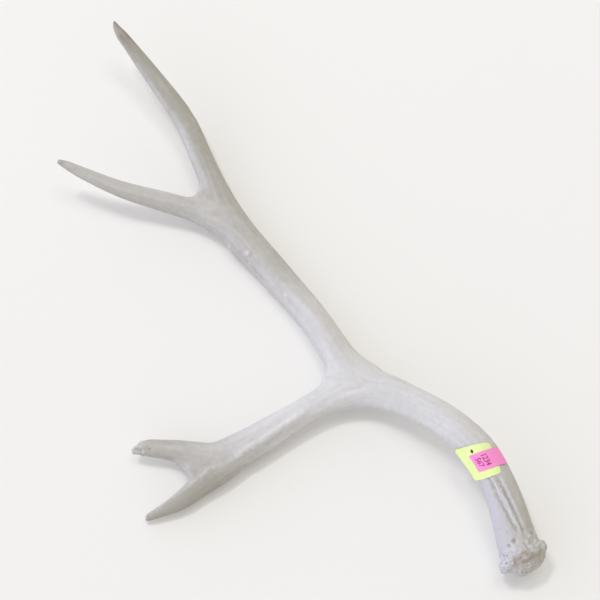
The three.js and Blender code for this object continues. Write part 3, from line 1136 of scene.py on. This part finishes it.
# %% The ink spot
SPOT_MIDDLE = (-0.08, 0.66)
bpy.ops.object.select_all(action="DESELECT")
bpy.ops.mesh.primitive_circle_add(vertices=14, radius=1, fill_type="NGON")
blot_of_ink = bpy.context.object
blot_of_ink.name = "lime_label_ink_spot"
for vertex in blot_of_ink.data.vertices:
    x, y, _ = vertex.co
    across = SPOT_MIDDLE[0] + 0.075 * x + 0.02 * y
    up = SPOT_MIDDLE[1] + 0.11 * y
    lift = paper_height(across, up, LIME) + PAPER + INK_LIFT
    vertex.co = Vector(drape(across, up, LIME, lift)) * MM
thicken(blot_of_ink, INK)
print("ink spot:", triangles_of(blot_of_ink), "triangles")

# %% [markdown]
# ## Paper and ink
# Label paper is fluorescent, matte and fibrous. The fibres are fine noise, with a slightly duller
# tone where the paper is creased or rubbed.


# %% Paper and ink
def paper_finish(name, fresh, dull, roughness):
    """Fibrous paper, or the ink on it, that is duller where it is rubbed."""
    paper = Finish(name, roughness, specular=0.25)
    where = paper.on_object()
    fibres = paper.speckle(where, 900.0, 4.0, 0.7)
    rubbed = paper.speckle(where, 120.0, 3.0)
    tone = paper.blend(paper.between(rubbed, 0.4, 0.75, 0.0, 0.7), fresh, dull)
    tone = paper.blend(paper.between(fibres, 0.45, 0.8, 0.0, 0.25), tone, dull)
    creases = paper.bump(rubbed, 0.0008, 0.7)
    paper.set(Base_Color=tone, Normal=paper.bump(fibres, 0.00006, 0.6, creases))
    return paper.material


LIME_FRESH = colour(0.80, 0.93, 0.36)
LIME_DULL = colour(0.79, 0.90, 0.53)
PINK_FRESH = colour(0.94, 0.29, 0.62)
PINK_DULL = colour(0.86, 0.32, 0.58)
MAGENTA_INK = colour(0.42, 0.03, 0.20)
MAGENTA_FADED = colour(0.62, 0.10, 0.36)
BLACK_INK = colour(0.030, 0.032, 0.025)
BLACK_FADED = colour(0.10, 0.11, 0.07)
lime_paper = paper_finish("lime_paper_finish", LIME_FRESH, LIME_DULL, 0.75)
pink_paper = paper_finish("pink_paper_finish", PINK_FRESH, PINK_DULL, 0.7)
for piece, material, node, slot in (
    (lime_label, lime_paper, "lime_label", "lime_paper"),
    (pink_label, pink_paper, "pink_label", "pink_paper"),
):
    piece.data.materials.clear()
    piece.data.materials.append(material)
    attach(piece, "root")
    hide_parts(node)
numbers.data.materials.clear()
numbers.data.materials.append(paper_finish("magenta_ink", MAGENTA_INK, MAGENTA_FADED, 0.8))
blot_of_ink.data.materials.clear()
blot_of_ink.data.materials.append(paper_finish("black_ink", BLACK_INK, BLACK_FADED, 0.8))
for ink, slot in ((numbers, "pink_paper"), (blot_of_ink, "lime_paper")):
    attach(ink, "root")
print("paper and ink finished")

# %% [markdown]
# ## Table
# The antler lies on a plain pale surface, large enough to fill every view. A faint glow of its own
# keeps the shadows on it soft and pale.

# %% Table
TABLE_TONES = (colour(0.725, 0.716, 0.692), colour(0.745, 0.735, 0.711))
bpy.ops.object.select_all(action="DESELECT")
bpy.ops.mesh.primitive_plane_add(size=40, location=(0, 0, -0.05 * MM))
table = bpy.context.object
table.name = "table"
cloth = Finish("pale_table", 0.8, specular=0.2)
soft_tone = cloth.speckle(cloth.on_object(), 3.0, 2.0)
cloth.set(Base_Color=cloth.blend(soft_tone, *TABLE_TONES))
cloth.set(Emission_Color=colour(1.0, 0.99, 0.97), Emission_Strength=0.12)
table.data.materials.append(cloth.material)
print("table %.0f m wide" % table.dimensions.x)

# %% [markdown]
# ## Light
# A soft key light stands high behind the antler, to its left, and a wider, warmer fill hangs nearly
# overhead. Both are area lights, because the size of a light sets how soft its shadows are.


# %% Two soft lights
def soft_light(name, azimuth, elevation, distance, wide, tall, power, tint):
    """A wide area light aimed at the antler. Azimuth 0 is behind it, and 90 to its right."""
    turn = math.radians(azimuth)
    lift = math.radians(elevation)
    way = Vector((math.sin(turn) * math.cos(lift), math.cos(turn) * math.cos(lift), math.sin(lift)))
    bpy.ops.object.light_add(type="AREA", location=way * distance)
    light = bpy.context.object
    light.name = name
    light.data.shape = "RECTANGLE"
    light.data.size = wide
    light.data.size_y = tall
    light.data.energy = power
    light.data.color = tint
    light.rotation_euler = way.to_track_quat("Z", "Y").to_euler()
    return light


LIGHT_DISTANCE = 6.0
soft_light("key", -47, 67, LIGHT_DISTANCE, wide=1.2, tall=0.65, power=86, tint=(1.0, 1.0, 1.0))
soft_light("fill", 30, 74, LIGHT_DISTANCE, wide=3.0, tall=2.0, power=63, tint=(1.0, 0.985, 0.89))
print("two lights,", LIGHT_DISTANCE, "m away")

# %% [markdown]
# The world is a room with its windows on the left: bright and slightly blue there, dim and warm to the
# right, and darker overhead than at the horizon. That is what shows the bone's flutes.

# %% The room
WINDOW_WALL = colour(1.331, 1.375, 1.623)
FAR_WALL = colour(0.536, 0.483, 0.316)
HORIZON = 1.4
CEILING = 0.4
world = bpy.data.worlds.new("bright_room")
bpy.context.scene.world = world
world.use_nodes = True
room = world.node_tree
heading = room.nodes.new("ShaderNodeTexCoord").outputs["Generated"]


def toward(way, start, dim, bright):
    """A value that runs from dim, at this cosine to the way, to bright, as a ray turns towards it."""
    turned = room.nodes.new("ShaderNodeVectorMath")
    turned.operation = "DOT_PRODUCT"
    turned.inputs[1].default_value = unit(np.array(way))
    room.links.new(heading, turned.inputs[0])
    level = room.nodes.new("ShaderNodeMapRange")
    level.inputs["From Min"].default_value = start
    level.inputs["To Min"].default_value = dim
    level.inputs["To Max"].default_value = bright
    room.links.new(turned.outputs["Value"], level.inputs["Value"])
    return level.outputs["Result"]


walls = room.nodes.new("ShaderNodeMix")
walls.data_type = "RGBA"
right_wall, left_wall = [socket for socket in walls.inputs if socket.type == "RGBA"]
right_wall.default_value = FAR_WALL
left_wall.default_value = WINDOW_WALL
room.links.new(toward((-1.0, 0.0, 0.0), -1.0, 0.0, 1.0), walls.inputs["Factor"])
blended = [socket for socket in walls.outputs if socket.type == "RGBA"][0]
background = room.nodes["Background"]
room.links.new(blended, background.inputs["Color"])
room.links.new(toward((0.0, 0.0, 1.0), 0.0, HORIZON, CEILING), background.inputs["Strength"])
bpy.context.scene.view_settings.view_transform = "Standard"
print("room from", CEILING, "overhead to", HORIZON, "at the horizon")

# %% [markdown]
# ## Camera
# The camera stands in front and looks down steeply, through a long lens from a little over a metre,
# so that the near and far ends of the antler keep nearly the same scale.

# %% Camera
LOOK_AT = Vector((7.6, -9.4, 20.0)) * MM
CAMERA_DISTANCE = 1.204
CAMERA_ELEVATION = math.radians(70)
LENS = 85  # mm
back = Vector((0, -math.cos(CAMERA_ELEVATION), math.sin(CAMERA_ELEVATION)))
bpy.ops.object.camera_add(location=LOOK_AT + back * CAMERA_DISTANCE)
camera = bpy.context.object
camera.rotation_euler = (math.pi / 2 - CAMERA_ELEVATION, 0, 0)
camera.data.lens = LENS
bpy.context.scene.camera = camera
print("camera %.2f m above the table" % camera.location.z)
